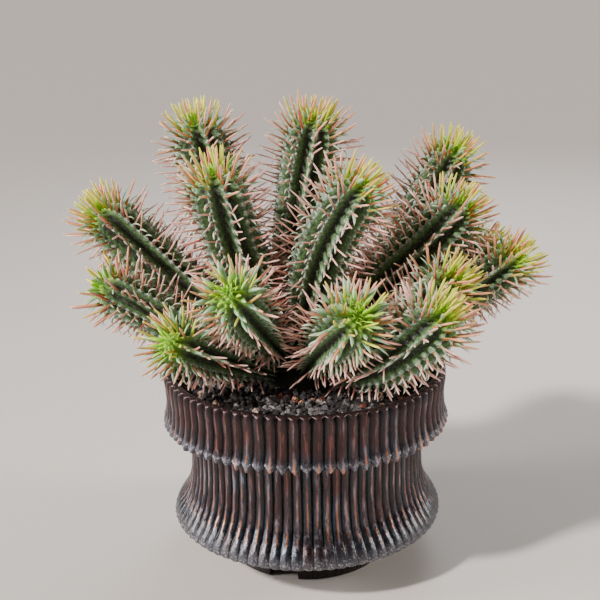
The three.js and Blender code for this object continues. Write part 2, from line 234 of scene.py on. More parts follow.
def add(tree, kind, inputs=None, stops=None, out=None, **settings):
    """Adds a node with settings, inputs and colour stops, and returns its first output, or the one named."""
    node = tree.nodes.new(kind)
    for name, value in settings.items():
        setattr(node, name, value)
    fill(tree, node.inputs, inputs or {})
    if stops:
        elements = node.color_ramp.elements
        while len(elements) < len(stops):
            elements.new(1.0)
        for element, (place, colour) in zip(elements, stops):
            element.position = place
            element.color = linear(colour)
    return pick(node.outputs, out) if out else next(one for one in node.outputs if one.enabled)


def smoothstep(share):
    share = np.clip(share, 0, 1)
    return share * share * (3 - 2 * share)


def unit(vectors):
    return vectors / np.linalg.norm(vectors, axis=-1, keepdims=True)


def mesh_of_rings(name, rings, start=None, end=None):
    """A mesh over rings of points in mm, closed by a point at each end, or in a loop if no ends are given."""
    count, columns = rings.shape[:2]
    points = rings.reshape(-1, 3)
    i = np.arange(columns)
    following = (i + 1) % columns
    faces = []
    for k in range(count if start is None else count - 1):
        low = k * columns
        high = ((k + 1) % count) * columns
        faces += np.stack([low + i, low + following, high + following, high + i], axis=1).tolist()
    if start is not None:
        points = np.vstack([points, start, end])
        first, last = len(points) - 2, len(points) - 1
        high = (count - 1) * columns
        faces += [[first, b, a] for a, b in zip(i.tolist(), following.tolist())]
        faces += [[last, high + a, high + b] for a, b in zip(i.tolist(), following.tolist())]
    mesh = bpy.data.meshes.new(name)
    mesh.from_pydata((points * MM).tolist(), [], faces)
    mesh.shade_smooth()
    return mesh


def store(mesh, name, values):
    """Keeps a value for each vertex as an attribute of the mesh: numbers or vectors."""
    values = np.asarray(values, float)
    kind, key = ("FLOAT_VECTOR", "vector") if values.ndim == 2 else ("FLOAT", "value")
    attribute = mesh.attributes.new(name, kind, "POINT")
    attribute.data.foreach_set(key, values.astype(np.float32).ravel())


def add_object(mesh):
    piece = bpy.data.objects.new(mesh.name, mesh)
    bpy.context.scene.collection.objects.link(piece)
    return piece


def new_tree(name, inputs):
    """An empty node tree that takes and gives geometry, with its other inputs named."""
    tree = bpy.data.node_groups.new(name, "GeometryNodeTree")
    tree.interface.new_socket("Geometry", in_out="INPUT", socket_type="NodeSocketGeometry")
    tree.interface.new_socket("Geometry", in_out="OUTPUT", socket_type="NodeSocketGeometry")
    for label, kind in inputs.items():
        tree.interface.new_socket(label, in_out="INPUT", socket_type=kind)
    entry = tree.nodes.new("NodeGroupInput").outputs
    leave = tree.nodes.new("NodeGroupOutput").inputs
    return tree, entry, leave


def finish_tree(tree, entry, leave, geometry):
    """Ends a tree: no instance is left in what it makes, and all of it has the one material."""
    real = add(tree, "GeometryNodeRealizeInstances", {0: geometry})
    done = add(tree, "GeometryNodeSetMaterial", {"Geometry": real, "Material": entry["Material"]})
    tree.links.new(done, leave["Geometry"])
    return tree


def grown(mesh, tree, name, values):
    """Runs a node tree on a mesh with its inputs set, and returns the result as a plain object."""
    seedling = add_object(mesh)
    modifier = seedling.modifiers.new(name, "NODES")
    modifier.node_group = tree
    for item in tree.interface.items_tree:
        if item.in_out == "INPUT" and item.name in values:
            modifier[item.identifier] = values[item.name]
    depsgraph = bpy.context.evaluated_depsgraph_get()
    result = bpy.data.meshes.new_from_object(seedling.evaluated_get(depsgraph), depsgraph=depsgraph)
    result.name = name
    bpy.data.objects.remove(seedling)
    return add_object(result)


def joined(pieces, name):
    """Joins several objects into the first, which keeps every material and attribute."""
    with bpy.context.temp_override(
        active_object=pieces[0], selected_objects=pieces, selected_editable_objects=pieces
    ):
        bpy.ops.object.join()
    pieces[0].name = name
    pieces[0].data.name = name
    return pieces[0]


# Materials

def new_material(name):
    """A material with its Principled shader, as the material, its tree and the shader's sockets."""
    material = bpy.data.materials.new(name)
    material.use_nodes = True
    return material, material.node_tree, material.node_tree.nodes["Principled BSDF"].inputs


def attribute(tree, name):
    return add(tree, "ShaderNodeAttribute", attribute_name=name, out="Fac")


def stem_skin():
    """Waxy epidermis, grown: dark green in the furrows, deepened by painted shade, a painted lit band of
    bright green up their sides, and grey bloom on the ribs, with painted shade between the tubercles and
    painted highlights on them.
    """
    material, tree, surface = new_material("stem_epidermis_waxy")
    place = add(tree, "ShaderNodeTexCoord", out="Object")
    crest, age, tubercle = (attribute(tree, name) for name in ("crest", "age", "tubercle"))
    blotches = add(tree, NOISE, {"Vector": place, "Scale": SKIN_BLOTCHES, "Detail": 6.0, "Roughness": 0.7})
    shift = add(tree, MATH, {0: blotches, 1: 0.5}, operation="SUBTRACT")
    uneven = add(tree, MATH, {0: shift, 1: 1.1, 2: crest}, operation="MULTIPLY_ADD")
    # Colour across a rib, by its crest: the furrow's dark green deepened to near black by painted shade, a
    # band of bright green up the furrow's sides as painted light, and the ribs' grey bloom, whitest at the
    # top, where part of it is a painted highlight.
    across = add(
        tree, RAMP, {"Fac": uneven},
        stops=(
            (0.0, "#171d14"), (0.12, "#222e1d"), (0.3, "#344c28"), (0.5, "#568440"), (0.66, "#4c6e4b"),
            (0.85, "#7a9a7e"), (1.0, "#c0d6c0"),
        ),
    )
    # The young and the old skin likewise lighten up the ribs and darken into the furrows, partly painted
    # shade.
    young = add(
        tree, RAMP, {"Fac": uneven},
        stops=((0.0, "#4a7a1e"), (0.6, "#86b02a"), (1.0, "#aecb4a")),
    )
    old = add(
        tree, RAMP, {"Fac": uneven},
        stops=((0.0, "#1a221b"), (0.5, "#2f3f2e"), (0.75, "#4a5a45"), (1.0, "#787c6a")),
    )
    # Painted shade in the hollows between the tubercles along each rib.
    low = add(tree, MAP_RANGE, {"Value": tubercle, "From Max": 0.35, "To Min": 1.0, "To Max": 0.0})
    ribbed = add(tree, MAP_RANGE, {"Value": crest, "From Min": 0.5, "From Max": 0.9, "To Max": 0.7})
    crease_shade = add(tree, MATH, {0: low, 1: ribbed}, operation="MULTIPLY")
    shaded = add(tree, MIX, {"Factor": crease_shade, "A": across, "B": linear("#2b3d30")}, data_type="RGBA")
    # White flecks on the tubercles' tops: partly real wax bloom, partly a painted highlight.
    wax = add(tree, NOISE, {"Vector": place, "Scale": WAX_FLECKS, "Detail": 2.0})
    flecks = add(tree, MAP_RANGE, {"Value": wax, "From Min": 0.5, "From Max": 0.6, "To Min": 0.15})
    peak_highlight = add(tree, MAP_RANGE, {"Value": tubercle, "From Min": 0.2, "From Max": 0.7, "To Min": 0.1})
    bloom = add(tree, MATH, {0: flecks, 1: peak_highlight}, operation="MULTIPLY")
    bloom_and_highlight = add(tree, MIX, {"Factor": bloom, "A": shaded, "B": linear("#e0eadc")}, data_type="RGBA")
    fresh = add(
        tree, MAP_RANGE, {"Value": age, "From Min": 0.06, "From Max": 0.15, "To Min": 1.0, "To Max": 0.0}
    )
    worn = add(
        tree, MAP_RANGE, {"Value": age, "From Min": 0.55, "From Max": 1.15, "To Min": 0.0, "To Max": 0.75}
    )
    half = add(tree, MIX, {"Factor": fresh, "A": bloom_and_highlight, "B": young}, data_type="RGBA")
    colour = add(tree, MIX, {"Factor": worn, "A": half, "B": old}, data_type="RGBA")
    bump = add(tree, "ShaderNodeBump", {"Height": blotches, "Strength": 0.6, "Distance": 1.2 * MM})
    values = {
        "Base Color": colour, "Normal": bump, "Roughness": 0.55, "IOR": 1.42, "Subsurface Weight": 0.08,
        "Subsurface Radius": (0.8, 1.0, 0.4), "Subsurface Scale": 1.0 * MM,
    }
    fill(tree, surface, values)
    return material


def spine_wood():
    """Dried flower stalks, hard as wood: yellow when new, then orange at the root, and rose with age."""
    material, tree, surface = new_material("spine_dried_stalk")
    along, age, tint = (attribute(tree, name) for name in ("along", "age", "tint"))
    new = add(
        tree, RAMP, {"Fac": along},
        stops=((0.0, "#88bc22"), (0.3, "#c0d834"), (1.0, "#ecee5e")),
    )
    middling = add(
        tree, RAMP, {"Fac": along},
        stops=((0.0, "#cc7a2c"), (0.3, "#e8975c"), (0.75, "#f0a888"), (1.0, "#ecc470")),
    )
    old = add(
        tree, RAMP, {"Fac": along},
        stops=((0.0, "#93463a"), (0.2, "#d98d7d"), (0.6, "#f6beb0"), (1.0, "#fbdacf")),
    )
    jitter = add(tree, MATH, {0: tint, 1: 0.16, 2: age}, operation="MULTIPLY_ADD")
    first = add(tree, MAP_RANGE, {"Value": jitter, "From Min": 0.12, "From Max": 0.19})
    second = add(tree, MAP_RANGE, {"Value": jitter, "From Min": 0.19, "From Max": 0.3})
    half = add(tree, MIX, {"Factor": first, "A": new, "B": middling}, data_type="RGBA")
    colour = add(tree, MIX, {"Factor": second, "A": half, "B": old}, data_type="RGBA")
    ruddy = add(tree, MAP_RANGE, {"Value": tint, "From Min": 0.95, "From Max": 0.99, "To Max": 0.7})
    final = add(tree, MIX, {"Factor": ruddy, "A": colour, "B": linear("#d8472c")}, data_type="RGBA")
    fill(tree, surface, {"Base Color": final, "Roughness": 0.36, "IOR": 1.5})
    return material


def leaf_skin():
    """Small fleshy leaf scales with a grey bloom: bright at a stem's tip, pale and drying further down."""
    material, tree, surface = new_material("leaf_scale_glaucous")
    along, age = (attribute(tree, name) for name in ("along", "age"))
    new = add(
        tree, RAMP, {"Fac": along},
        stops=((0.0, "#90dc10"), (0.5, "#b2f02c"), (1.0, "#e2fa60")),
    )
    full = add(
        tree, RAMP, {"Fac": along},
        stops=((0.0, "#74b23c"), (0.35, "#7cb286"), (0.8, "#b8dabc"), (1.0, "#e2ec9c")),
    )
    drying = add(
        tree, RAMP, {"Fac": along},
        stops=((0.0, "#719c6e"), (0.4, "#b8d2b0"), (0.8, "#e8f0dc"), (1.0, "#e4d4a8")),
    )
    first = add(tree, MAP_RANGE, {"Value": age, "From Min": 0.045, "From Max": 0.09})
    second = add(tree, MAP_RANGE, {"Value": age, "From Min": 0.15, "From Max": 0.3})
    half = add(tree, MIX, {"Factor": first, "A": new, "B": full}, data_type="RGBA")
    colour = add(tree, MIX, {"Factor": second, "A": half, "B": drying}, data_type="RGBA")
    values = {
        "Base Color": colour, "Roughness": 0.45, "IOR": 1.42, "Subsurface Weight": 0.08,
        "Subsurface Scale": 0.8 * MM,
    }
    fill(tree, surface, values)
    return material


def iron_glaze():
    """Stoneware under a dark iron glaze with a satin metal lustre: streaked rust brown, copper where it wears
    thin on a ridge, partly painted glints, and steel blue with a silvery crust where it gathers at the lower
    edges, its specks partly painted glints."""
    material, tree, surface = new_material("stoneware_iron_glaze")
    place = add(tree, "ShaderNodeTexCoord", out="Object")
    ridge, pooled, lip = (attribute(tree, name) for name in ("ridge", "pooled", "lip"))
    upright = add(tree, "ShaderNodeMapping", {"Vector": place, "Scale": (1.0, 1.0, 0.08)})
    tall = add(tree, "ShaderNodeMapping", {"Vector": place, "Scale": (1.0, 1.0, 0.4)})
    streaks = add(tree, NOISE, {"Vector": upright, "Scale": GLAZE_STREAKS, "Detail": 4.0, "Roughness": 0.65})
    patches = add(tree, NOISE, {"Vector": tall, "Scale": GLAZE_PATCHES, "Detail": 3.0})
    grains = add(tree, NOISE, {"Vector": place, "Scale": GLAZE_GRAINS, "Detail": 3.0})
    broken = add(tree, MATH, {0: streaks, 1: 0.5}, operation="SUBTRACT")
    drawn = add(tree, MATH, {0: ridge, 1: 0.85, 2: 0.05}, operation="MULTIPLY_ADD")
    spread = add(tree, MAP_RANGE, {"Value": ridge, "From Max": 0.4, "To Min": 0.2, "To Max": 1.2})
    thin = add(tree, MATH, {0: broken, 1: spread, 2: drawn}, operation="MULTIPLY_ADD")
    rusty = add(
        tree, RAMP, {"Fac": thin},
        stops=(
            (0.1, "#171011"), (0.45, "#211617"), (0.7, "#2f1d1e"), (0.86, "#43292a"), (1.0, "#774641"),
        ),
    )
    steely = add(
        tree, RAMP, {"Fac": thin},
        stops=((0.1, "#121519"), (0.45, "#191f26"), (0.7, "#242d37"), (0.86, "#37424f"), (1.0, "#76869a")),
    )
    cloudy = add(tree, MATH, {0: patches, 1: 3.0, 2: -1.4}, operation="MULTIPLY_ADD")
    metal = add(tree, MATH, {0: pooled, 1: 1.2, 2: cloudy}, operation="MULTIPLY_ADD", use_clamp=True)
    glazed = add(tree, MIX, {"Factor": metal, "A": rusty, "B": steely}, data_type="RGBA")
    # Copper along the crests, in patches and mostly low down: partly the glaze's own copper where it breaks
    # thin, partly painted glints.
    edge = add(tree, MAP_RANGE, {"Value": ridge, "From Min": 0.88, "From Max": 0.99})
    glint = add(tree, MAP_RANGE, {"Value": patches, "From Min": 0.48, "From Max": 0.56})
    worn = add(tree, MATH, {0: edge, 1: glint}, operation="MULTIPLY")
    low = add(tree, MAP_RANGE, {"Value": pooled, "From Min": 0.2, "From Max": 0.55, "To Min": 0.12})
    copper = add(tree, MATH, {0: worn, 1: low}, operation="MULTIPLY")
    copper_glinted = add(tree, MIX, {"Factor": copper, "A": glazed, "B": linear("#cd8459")}, data_type="RGBA")
    # Silvery specks over the lower edges, more on the ridges: partly a real crust, partly painted glints.
    speck = add(tree, MAP_RANGE, {"Value": grains, "From Min": 0.54, "From Max": 0.6, "To Min": 0.2})
    foot = add(tree, MAP_RANGE, {"Value": pooled, "From Min": 0.45, "From Max": 0.85, "To Max": 0.8})
    spread_out = add(tree, MATH, {0: ridge, 1: 0.35, 2: 0.55}, operation="MULTIPLY_ADD")
    lit = add(tree, MATH, {0: foot, 1: spread_out}, operation="MULTIPLY")
    crust = add(tree, MATH, {0: speck, 1: lit}, operation="MULTIPLY")
    crust_glinted = add(tree, MIX, {"Factor": crust, "A": copper_glinted, "B": linear("#b2afba")}, data_type="RGBA")
    rim = add(tree, MATH, {0: lip, 1: 0.85}, operation="MULTIPLY")
    colour = add(tree, MIX, {"Factor": rim, "A": crust_glinted, "B": linear("#3f2e2f")}, data_type="RGBA")
    gloss = add(tree, MAP_RANGE, {"Value": streaks, "To Min": 0.16, "To Max": 0.4})
    dull = add(tree, MATH, {0: foot, 1: 0.3, 2: gloss}, operation="MULTIPLY_ADD")
    matt = add(tree, MATH, {0: lip, 1: 0.06, 2: dull}, operation="MULTIPLY_ADD")
    lumps = add(tree, MATH, {0: grains, 1: foot}, operation="MULTIPLY")
    height = add(tree, MATH, {0: streaks, 1: 0.4, 2: lumps}, operation="MULTIPLY_ADD")
    bump = add(tree, "ShaderNodeBump", {"Height": height, "Strength": 0.7, "Distance": 0.8 * MM})
    lustre = add(tree, MAP_RANGE, {"Value": copper, "To Min": 0.6, "To Max": 0.85})
    crusty = add(tree, MATH, {0: foot, 1: -0.3, 2: lustre}, operation="MULTIPLY_ADD")
    values = {
        "Base Color": colour, "Roughness": matt, "Normal": bump, "Metallic": crusty, "IOR": 1.6,
        "Coat Weight": 0.1, "Coat Roughness": 0.15,
    }
    fill(tree, surface, values)
    return material


def lava_grit():
    """Crushed lava: porous black and grey grains, with a few tan, rose and dark red ones, all dull."""
    material, tree, surface = new_material("lava_grit_crushed")
    place = add(tree, "ShaderNodeTexCoord", out="Object")
    tint = attribute(tree, "tint")
    kinds = add(
        tree, RAMP, {"Fac": tint},
        stops=(
            (0.0, "#252425"), (0.40, "#3f3d3e"), (0.70, "#5e5c5f"), (0.86, "#858180"), (0.93, "#b3937a"),
            (0.965, "#a56d5a"), (0.985, "#571f1b"),
        ),
    )
    grains = add(tree, NOISE, {"Vector": place, "Scale": GRIT_PORES, "Detail": 5.0, "Roughness": 0.65})
    shade = add(
        tree, MAP_RANGE,
        {"Value": grains, "From Min": 0.42, "From Max": 0.62, "To Min": 0.2, "To Max": 2.2},
    )
    colour = add(tree, VECTOR_MATH, {0: kinds, 1: shade}, operation="MULTIPLY")
    bump = add(tree, "ShaderNodeBump", {"Height": grains, "Strength": 1.0, "Distance": 0.8 * MM})
    fill(tree, surface, {"Base Color": colour, "Normal": bump, "Roughness": 0.85})
    return material


def corky_skin():
    """The old woody base of the clump: grey-brown cork over green, cracked as it grew."""
    material, tree, surface = new_material("root_crown_cork")
    place = add(tree, "ShaderNodeTexCoord", out="Object")
    cracks = add(tree, NOISE, {"Vector": place, "Scale": CORK_CRACKS, "Detail": 6.0})
    colour = add(
        tree, RAMP, {"Fac": cracks},
        stops=((0.3, "#12140f"), (0.5, "#262c20"), (0.65, "#464636"), (0.8, "#6a624f")),
    )
    bump = add(tree, "ShaderNodeBump", {"Height": cracks, "Strength": 0.8, "Distance": 0.8 * MM})
    fill(tree, surface, {"Base Color": colour, "Normal": bump, "Roughness": 0.85})
    return material


def mesh_plastic():
    """Black moulded polyethylene, slightly scuffed."""
    material, tree, surface = new_material("drain_mesh_polyethylene")
    place = add(tree, "ShaderNodeTexCoord", out="Object")
    scuffs = add(tree, NOISE, {"Vector": place, "Scale": MESH_SCUFFS, "Detail": 3.0})
    colour = add(tree, RAMP, {"Fac": scuffs}, stops=((0.3, "#141615"), (0.8, "#2b2e2c")))
    fill(tree, surface, {"Base Color": colour, "Roughness": 0.5})
    return material


# Stems

def stem_form(root, bend, tip, radius, twist):
    """The arrays that everything on a stem is placed by."""
    root, bend, tip = (np.array(point, float) for point in (root, bend, tip))
    t = np.linspace(0, 1, 401)[:, None]
    curve = (1 - t) ** 2 * root + 2 * t * (1 - t) * bend + t**2 * tip
    steps = np.linalg.norm(np.diff(curve, axis=0), axis=1)
    travelled = np.concatenate([[0], np.cumsum(steps)])
    forward = unit(2 * (1 - t) * (bend - root) + 2 * t * (tip - bend))
    side = unit(np.cross(tip - root, (0, 0, 1)))
    right = unit(side - forward * (forward @ side)[:, None])
    return dict(
        curve=curve, travelled=travelled, length=travelled[-1], forward=forward, right=right,
        up=np.cross(forward, right), radius=radius, dome=DOME * radius, twist=math.radians(twist),
    )


def along_stem(form, key, distance):
    """A vector of the stem at each distance from its foot."""
    table = form[key]
    return np.stack([np.interp(distance, form["travelled"], table[:, k]) for k in range(3)], axis=-1)


def outward(form, distance, angle):
    """The direction straight out from the stem's axis, at an angle that turns with the ribs."""
    turn = angle + form["twist"] * distance / form["length"]
    right = unit(along_stem(form, "right", distance))
    up = unit(along_stem(form, "up", distance))
    return right * np.cos(turn)[..., None] + up * np.sin(turn)[..., None]


def skin_length(form):
    """How far it is from the tip to the foot, over the skin."""
    return form["length"] - form["dome"] + form["radius"] * math.pi / 2


def over_dome(form, reach):
    """The angle from the tip, up to a right angle, at a distance from the tip over the skin."""
    return np.clip(reach / form["radius"], 0, math.pi / 2)


def axis_distance(form, reach):
    """How far from the foot a point lies along the axis, from its distance to the tip over the skin."""
    below_dome = np.maximum(reach - form["radius"] * math.pi / 2, 0)
    return form["length"] - form["dome"] * (1 - np.cos(over_dome(form, reach))) - below_dome


def stem_radius(form, reach):
    """The radius over the ribs: slim at the foot, and round at the tip."""
    distance = axis_distance(form, reach)
    growth = FOOT_SHARE + (1 - FOOT_SHARE) * smoothstep(distance / GROWTH_LENGTH)
    return form["radius"] * growth * np.sin(over_dome(form, reach))


def tubercle_count(reach):
    """How many tubercles a rib has from the tip on: close together at first, and then spread out."""
    crowded = TIP_CROWD["more"] * (1 - np.exp(-reach / TIP_CROWD["reach"]))
    return reach / TUBERCLE["spacing"] + crowded


def ripple(points, random, wavelength, waves=14):
    """Smooth irregular values from about -1 to 1, with bumps of roughly the wavelength."""
    directions = unit(random.normal(0, 1, (waves, 3)))
    lengths = wavelength * random.uniform(0.7, 1.5, waves)
    phases = random.uniform(0, 2 * math.pi, waves)
    total = np.zeros(points.shape[:-1])
    for direction, length, phase in zip(directions, lengths, phases):
        total = total + np.sin(points @ direction * 2 * math.pi / length + phase)
    return total / math.sqrt(waves)


def stem_flesh(name, form, phase, random):
    """The ribbed body of one stem, with a tubercle on each rib wherever a leaf and a spine grow."""
    reach = np.arange(skin_length(form), 0.5, -RING_SPACING)[:, None]
    distance = axis_distance(form, reach)
    columns = RIBS * COLUMNS_PER_RIB
    column = np.arange(columns)[None, :]
    angle = np.broadcast_to(column * 2 * math.pi / columns, (len(reach), columns))
    rib = np.round(column / COLUMNS_PER_RIB) % RIBS
    across = np.abs((column / COLUMNS_PER_RIB + 0.5) % 1 * 2 - 1)
    crest = (1 - across) ** CREST_POWER
    beat = tubercle_count(reach) - (rib % 2) * 0.5 - phase
    between = beat - np.round(beat)
    tubercle = np.exp(-((between / TUBERCLE["tall"]) ** 2)) * np.exp(-((across / TUBERCLE["wide"]) ** 2))
    chevron = np.cos(2 * math.pi * (beat + 0.8 * across)) * across * (1 - across) * 4
    radius = stem_radius(form, reach)
    size = radius / form["radius"]
    opening = over_dome(form, reach) / (math.pi / 2)
    depth = FURROW_DEPTH * form["radius"] * size * (FURROW_AT_TIP + (1 - FURROW_AT_TIP) * opening)
    height = radius - depth * (1 - crest) - CREST_SUNK * size
    height = height + size * (TUBERCLE["height"] * tubercle + CHEVRON_HEIGHT * chevron)
    centre = along_stem(form, "curve", distance[:, 0])
    out = outward(form, np.broadcast_to(distance, height.shape), angle)
    rings = centre[:, None, :] + out * height[..., None]
    rough = ripple(rings, random, SKIN_RIPPLE["wavelength"]) * SKIN_RIPPLE["height"] * size
    rings = rings + out * rough[..., None]
    growing_point = form["curve"][-1] - form["forward"][-1] * TIP_DIMPLE
    mesh = mesh_of_rings(name, rings, form["curve"][0], growing_point)
    store(mesh, "crest", np.append(np.broadcast_to(crest, height.shape).ravel(), (0.6, 0.6)))
    store(mesh, "tubercle", np.append(tubercle.ravel(), (0, 0)))
    store(mesh, "age", np.append(np.broadcast_to(reach, height.shape).ravel() / FULL_AGE, (1, 0)))
    return add_object(mesh)


def growing_points(form, phase):
    """Every tubercle of every rib, from the tip down to near the foot."""
    grid = np.linspace(0, skin_length(form) - LOWEST_TUBERCLE, 3000)
    counts = tubercle_count(grid)
    reach, angle = [], []
    for rib in range(RIBS):
        wanted = np.arange(0, counts[-1]) + (rib % 2) * 0.5 + phase
        found = np.interp(wanted[wanted < counts[-1]], counts, grid)
        reach.append(found)
        angle.append(np.full(len(found), rib * 2 * math.pi / RIBS))
    reach, angle = np.concatenate(reach), np.concatenate(angle)
    distance = axis_distance(form, reach)
    radius = stem_radius(form, reach)
    out = outward(form, distance, angle)
    forward = unit(along_stem(form, "forward", distance))
    rise = np.cos(over_dome(form, reach))[:, None]
    normal = unit(out * np.sqrt(1 - rise**2) + forward * rise)
    return dict(
        place=along_stem(form, "curve", distance) + out * radius[:, None] + normal * 0.2,
        reach=reach, ring=radius * 2 * math.pi, out=out, forward=forward, normal=normal,
        side=np.cross(forward, out),
    )


def free_length(place, direction, wanted, forms, own):
    """How far each thing may grow before it would enter another stem, the grit or the rim."""
    free = wanted.copy()
    for share in np.linspace(1, SHORT_BY, 7):
        point = place + direction * (wanted * share)[:, None]
        across = np.hypot(point[:, 0], point[:, 1])
        blocked = (across < RIM["inside"]) & (point[:, 2] < SOIL_TOP + GRIT_CLEARANCE)
        blocked |= (across >= RIM["inside"]) & (across < RIM["outside"]) & (point[:, 2] < RIM["top"])
        blocked |= np.linalg.norm(point - CROWN_CENTRE, axis=1) < CROWN_RADIUS
        for name, other in forms.items():
            if name == own:
                continue
            apart = np.linalg.norm(point[:, None] - other["samples"][None], axis=2)
            blocked |= (apart < other["sample_radii"] * STEM_SHARE).any(axis=1)
        free = np.where(blocked, wanted * (share - SHORT_BY), free)
    return free


def aimed(points, lean, sway, random):
    """Directions of growth: out from the skin, leaning towards the tip, each swaying a little to one side."""
    count = len(points["reach"])
    forward = points["forward"] * (lean + random.normal(0, 0.14, count))[:, None]
    sideways = points["side"] * random.normal(0, sway, count)[:, None]
    return unit(points["normal"] + forward + sideways)


def points_mesh(name, place, keep, **attributes):
    """A mesh of bare vertices, with what each thing that grows there needs to know."""
    mesh = bpy.data.meshes.new(name)
    mesh.from_pydata((place[keep] * MM).tolist(), [], [])
    for key, values in attributes.items():
        store(mesh, key, values[keep])
    return mesh


def spine_points(name, form, points, forms, random):
    """Which tubercles carry a spine, which way it points, and how long and thick it is: shorter where it
    points down, and none in the middle of a leafy tip."""
    reach = points["reach"]
    count = len(reach)
    lean = 0.1 + 0.45 * np.exp(-reach / 28)
    direction = aimed(points, lean, 0.18, random)
    grown_share = 0.88 + 0.12 * smoothstep(reach / 8)
    drooping = smoothstep((-direction[:, 2] - 0.1) / 0.6)
    wanted = SPINE["length"] * random.uniform(0.76, 1.0, count) * grown_share
    wanted = wanted * (1 - 0.4 * drooping)
    free = free_length(points["place"], direction, wanted, forms, name)
    shed = smoothstep((reach - 45) / 60)
    started = smoothstep((reach - 3) / 7 if name in LEAFY_TIPS else reach / 4)
    likely = (0.95 - 0.4 * shed) * started
    keep = (random.uniform(0, 1, count) < likely) & (free > SHORTEST_SPINE)
    long = free / SPINE["length"]
    thick = (1.08 - 0.3 * smoothstep((reach - 10) / 25)) * random.uniform(0.88, 1.1, count)
    side = unit(points["side"] + points["forward"] * random.normal(0, 1.5, count)[:, None])
    return points_mesh(
        "spine_points", points["place"] - direction * SPINE_SUNK, keep, out=direction, side=side,
        size=np.stack([thick, thick, long], axis=1), age=reach / FULL_AGE, tint=random.uniform(0, 1, count),
    )


def leaf_points(name, form, points, forms, random, kind):
    """Which tubercles carry a leaf: broad ones in the crown, and slim hooked ones down the upper ribs."""
    reach = points["reach"]
    count = len(reach)
    crown = kind is CROWN_LEAF
    lean = 0.2 * smoothstep(reach / 20) if crown else 0.6 + 0 * reach
    direction = aimed(points, lean, 0.2, random)
    growth = 0.35 + 0.65 * smoothstep(reach / 8) if crown else 1 - 0.35 * smoothstep((reach - 25) / 40)
    wanted = kind["length"] * growth * random.uniform(0.82, 1.08, count)
    free = free_length(points["place"], direction, wanted, forms, name)
    border = form["radius"] * 1.4
    if crown:
        likely = (1 - smoothstep((reach - border) / 5)) * np.clip(points["ring"] / (RIBS * 1.1), 0, 1)
    else:
        likely = smoothstep((reach - border) / 5) * (0.97 - 0.6 * smoothstep((reach - 55) / 30))
    keep = (random.uniform(0, 1, count) < likely) & (free > 2)
    long = free / kind["length"]
    wide = np.sqrt(long) * random.uniform(0.85, 1.15, count)
    side = unit(points["side"] + points["out"] * random.normal(0, 0.15, count)[:, None])
    place = points["place"] - direction * LEAF_SUNK + points["forward"] * LEAF_AHEAD
    return points_mesh(
        "leaf_points", place, keep, out=direction, side=side, size=np.stack([wide, long, long], axis=1),
        age=reach / FULL_AGE,
    )


def one_spine():
    """A spine that stands on the origin: slim and blunt, a little bowed, with a knot where a bract was."""
    along = 1 - (1 - np.linspace(0, 1, SPINE["segments"] + 1)[:, None]) ** 1.6
    knot = 1 + SPINE["knot"] * np.maximum(0, 1 - np.abs(along - SPINE["knot_at"]) * 8)
    radius = SPINE["radius"] * (1 - along**8) ** 0.5 * (1 - SPINE["taper"] * along) * knot
    angle = np.arange(SPINE["sides"])[None, :] * 2 * math.pi / SPINE["sides"]
    x = radius * np.cos(angle) + SPINE["bow"] * along**2
    y = radius * np.sin(angle)
    rings = np.stack([x, y, along * SPINE["length"] + 0 * angle], axis=-1)[:-1]
    mesh = mesh_of_rings("one_spine", rings, (0, 0, -0.2), (SPINE["bow"], 0, SPINE["length"]))
    store(mesh, "along", np.append(np.repeat(along[:-1, 0], SPINE["sides"]), (0, 1)))
    return mesh


def one_leaf(kind):
    """A leaf that stands on the origin: lance-shaped with a keel, and bent back in an arc."""
    along = np.linspace(0, 1, 7)[:, None]
    narrow_foot = 0.45
    swell = np.sin(narrow_foot + along**0.9 * (math.pi - narrow_foot)) ** 0.9
    bent = along * kind["bend"]
    arc = kind["length"] / kind["bend"]
    corner = np.array([[0, 1, 0, -1], [1, 0, -1, 0]])
    thick = swell * kind["half_thickness"] * corner[0]
    x = swell * kind["half_width"] * corner[1]
    y = thick * np.cos(bent) - arc * (1 - np.cos(bent))
    z = thick * np.sin(bent) + arc * np.sin(bent)
    end = (0, -arc * (1 - math.cos(kind["bend"])), arc * math.sin(kind["bend"]))
    mesh = mesh_of_rings("one_leaf", np.stack([x, y, z], axis=-1)[:-1], (0, 0, -0.3), end)
    store(mesh, "along", np.append(np.repeat(along[:-1, 0], 4), (0, 1)))
    return mesh


def growth_tree():
    """Grows a copy of a piece on every point, aimed by its out vector, turned by its side one, and sized."""
    tree, entry, leave = new_tree(
        "grow_on_points", {"Piece": "NodeSocketObject", "Material": "NodeSocketMaterial"}
    )
    piece = add(tree, "GeometryNodeObjectInfo", {"Object": entry["Piece"]}, out="Geometry")
    out, side, size = (
        add(tree, "GeometryNodeInputNamedAttribute", {"Name": name}, data_type="FLOAT_VECTOR")
        for name in ("out", "side", "size")
    )
    upright = add(tree, "FunctionNodeAlignRotationToVector", {"Vector": out}, axis="Z")
    turned = add(
        tree, "FunctionNodeAlignRotationToVector", {"Rotation": upright, "Vector": side},
        axis="X", pivot_axis="Z",
    )
    instances = add(
        tree, "GeometryNodeInstanceOnPoints",
        {"Points": entry["Geometry"], "Instance": piece, "Rotation": turned, "Scale": size},
    )
    return finish_tree(tree, entry, leave, instances)


